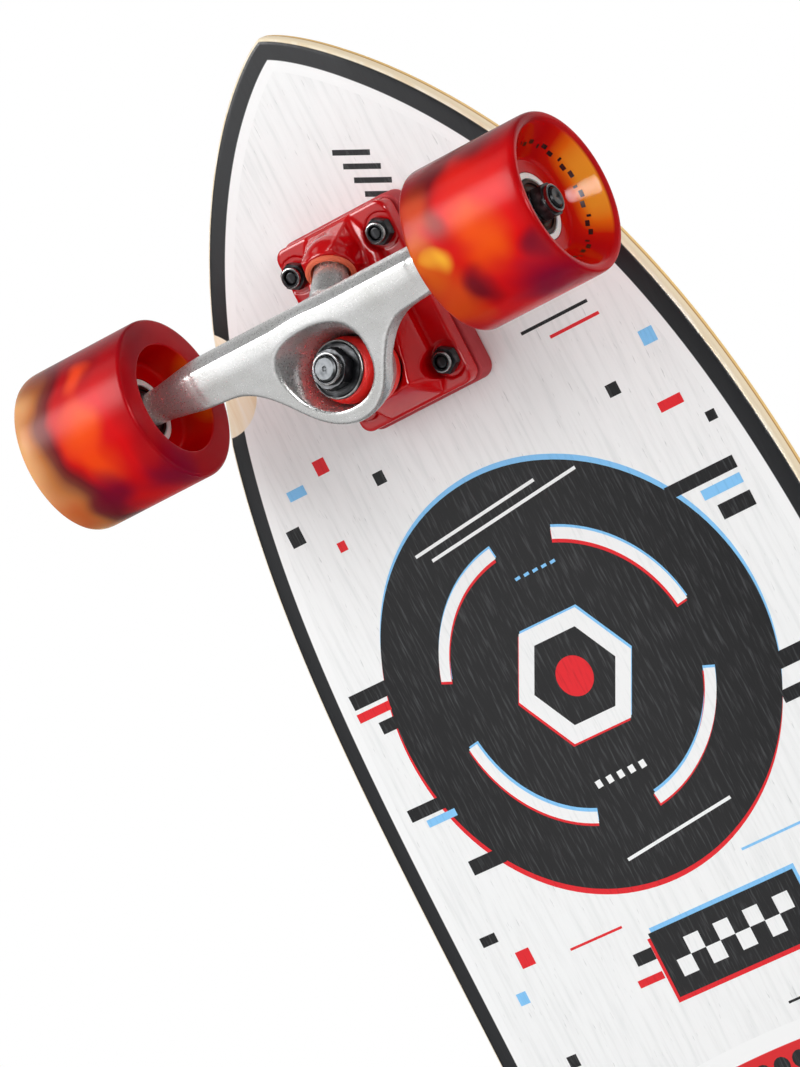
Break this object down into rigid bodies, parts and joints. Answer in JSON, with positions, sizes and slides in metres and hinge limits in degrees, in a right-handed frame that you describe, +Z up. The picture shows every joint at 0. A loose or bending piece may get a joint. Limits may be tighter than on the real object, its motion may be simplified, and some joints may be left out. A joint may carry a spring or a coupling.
{
  "type": "cruiser skateboard",
  "caption": "Pointed-nose cruiser skateboard with a kicktail, concave deck, risers, cast kingpin trucks and soft translucent wheels.",
  "frame": {"origin": "midway along the deck's length and across its width, on the ground plane that the wheels stand on", "axes": "+X to the nose along the board, +Y to the left across it, +Z up through the deck"},
  "size_m": [0.813, 0.2408, 0.1459],
  "materials": {
    "maple_deck": "seven-ply maple, whitewashed and printed underneath, clear lacquer",
    "grip_grit": "black mineral grit on an adhesive sheet",
    "riser_rubber": "dull red moulded riser pad",
    "red_paint": "cast aluminium under glossy red powder coat",
    "pivot_cup_urethane": "orange-red urethane",
    "zinc_steel": "bright zinc-plated steel",
    "bushing_urethane": "red urethane",
    "black_steel": "black oxide steel, worn bright on its edges",
    "cast_aluminium": "raw gravity-cast aluminium, tumbled, with a fine speckle",
    "core_nylon": "white glass-filled nylon",
    "bearing_steel": "ground steel rings behind black shields",
    "wheel_urethane": "cast translucent red urethane"
  },
  "bodies": {
    "board": {"deck": "maple_deck", "grip_tape": "grip_grit", "front_riser_pad": "riser_rubber", "front_baseplate": "red_paint", "front_pivot_cup": "pivot_cup_urethane", "front_kingpin": "zinc_steel", "front_board_side_washer": "black_steel", "front_board_side_bushing": "bushing_urethane", "front_road_side_bushing": "bushing_urethane", "front_road_side_washer": "black_steel", "front_kingpin_nut": "black_steel", "front_nose_left_bolt": "black_steel", "front_nose_left_nut": "black_steel", "front_nose_right_bolt": "black_steel", "front_nose_right_nut": "black_steel", "front_tail_left_bolt": "black_steel", "front_tail_left_nut": "black_steel", "front_tail_right_bolt": "black_steel", "front_tail_right_nut": "black_steel", "rear_riser_pad": "riser_rubber", "rear_baseplate": "red_paint", "rear_pivot_cup": "pivot_cup_urethane", "rear_kingpin": "zinc_steel", "rear_board_side_washer": "black_steel", "rear_board_side_bushing": "bushing_urethane", "rear_road_side_bushing": "bushing_urethane", "rear_road_side_washer": "black_steel", "rear_kingpin_nut": "black_steel", "rear_nose_left_bolt": "black_steel", "rear_nose_left_nut": "black_steel", "rear_nose_right_bolt": "black_steel", "rear_nose_right_nut": "black_steel", "rear_tail_left_bolt": "black_steel", "rear_tail_left_nut": "black_steel", "rear_tail_right_bolt": "black_steel", "rear_tail_right_nut": "black_steel"},
    "front_truck": {"front_hanger": "cast_aluminium", "front_axle": "zinc_steel", "front_left_axle_nut": "black_steel", "front_right_axle_nut": "black_steel"},
    "front_left_rolling_wheel": {"front_left_wheel": "wheel_urethane", "front_left_wheel_core": "core_nylon", "front_left_outer_bearing": "bearing_steel", "front_left_inner_bearing": "bearing_steel"},
    "front_right_rolling_wheel": {"front_right_wheel": "wheel_urethane", "front_right_wheel_core": "core_nylon", "front_right_outer_bearing": "bearing_steel", "front_right_inner_bearing": "bearing_steel"},
    "rear_truck": {"rear_hanger": "cast_aluminium", "rear_axle": "zinc_steel", "rear_left_axle_nut": "black_steel", "rear_right_axle_nut": "black_steel"},
    "rear_left_rolling_wheel": {"rear_left_wheel": "wheel_urethane", "rear_left_wheel_core": "core_nylon", "rear_left_outer_bearing": "bearing_steel", "rear_left_inner_bearing": "bearing_steel"},
    "rear_right_rolling_wheel": {"rear_right_wheel": "wheel_urethane", "rear_right_wheel_core": "core_nylon", "rear_right_outer_bearing": "bearing_steel", "rear_right_inner_bearing": "bearing_steel"}
  },
  "joints": [
    {"name": "front_truck_steer", "type": "hinge", "parent": "board", "child": "front_truck", "pos_m": [0.27699, 0, 0.04881], "axis": [0.9218, 0, 0.3876], "range_deg": [-12, 12], "stiffness_Nm_per_rad": 80, "deforming": ["front_board_side_bushing", "front_road_side_bushing"]},
    {"name": "front_left_wheel_spin", "type": "hinge", "parent": "front_truck", "child": "front_left_rolling_wheel", "pos_m": [0.3, 0.0939, 0.0323], "axis": [0, 1, 0], "continuous": true},
    {"name": "front_right_wheel_spin", "type": "hinge", "parent": "front_truck", "child": "front_right_rolling_wheel", "pos_m": [0.3, -0.0939, 0.0323], "axis": [0, 1, 0], "continuous": true},
    {"name": "rear_truck_steer", "type": "hinge", "parent": "board", "child": "rear_truck", "pos_m": [-0.18909, 0, 0.04881], "axis": [-0.9218, 0, 0.3876], "range_deg": [-12, 12], "stiffness_Nm_per_rad": 80, "deforming": ["rear_board_side_bushing", "rear_road_side_bushing"]},
    {"name": "rear_left_wheel_spin", "type": "hinge", "parent": "rear_truck", "child": "rear_left_rolling_wheel", "pos_m": [-0.2121, 0.0939, 0.0323], "axis": [0, 1, 0], "continuous": true},
    {"name": "rear_right_wheel_spin", "type": "hinge", "parent": "rear_truck", "child": "rear_right_rolling_wheel", "pos_m": [-0.2121, -0.0939, 0.0323], "axis": [0, 1, 0], "continuous": true}
  ]
}
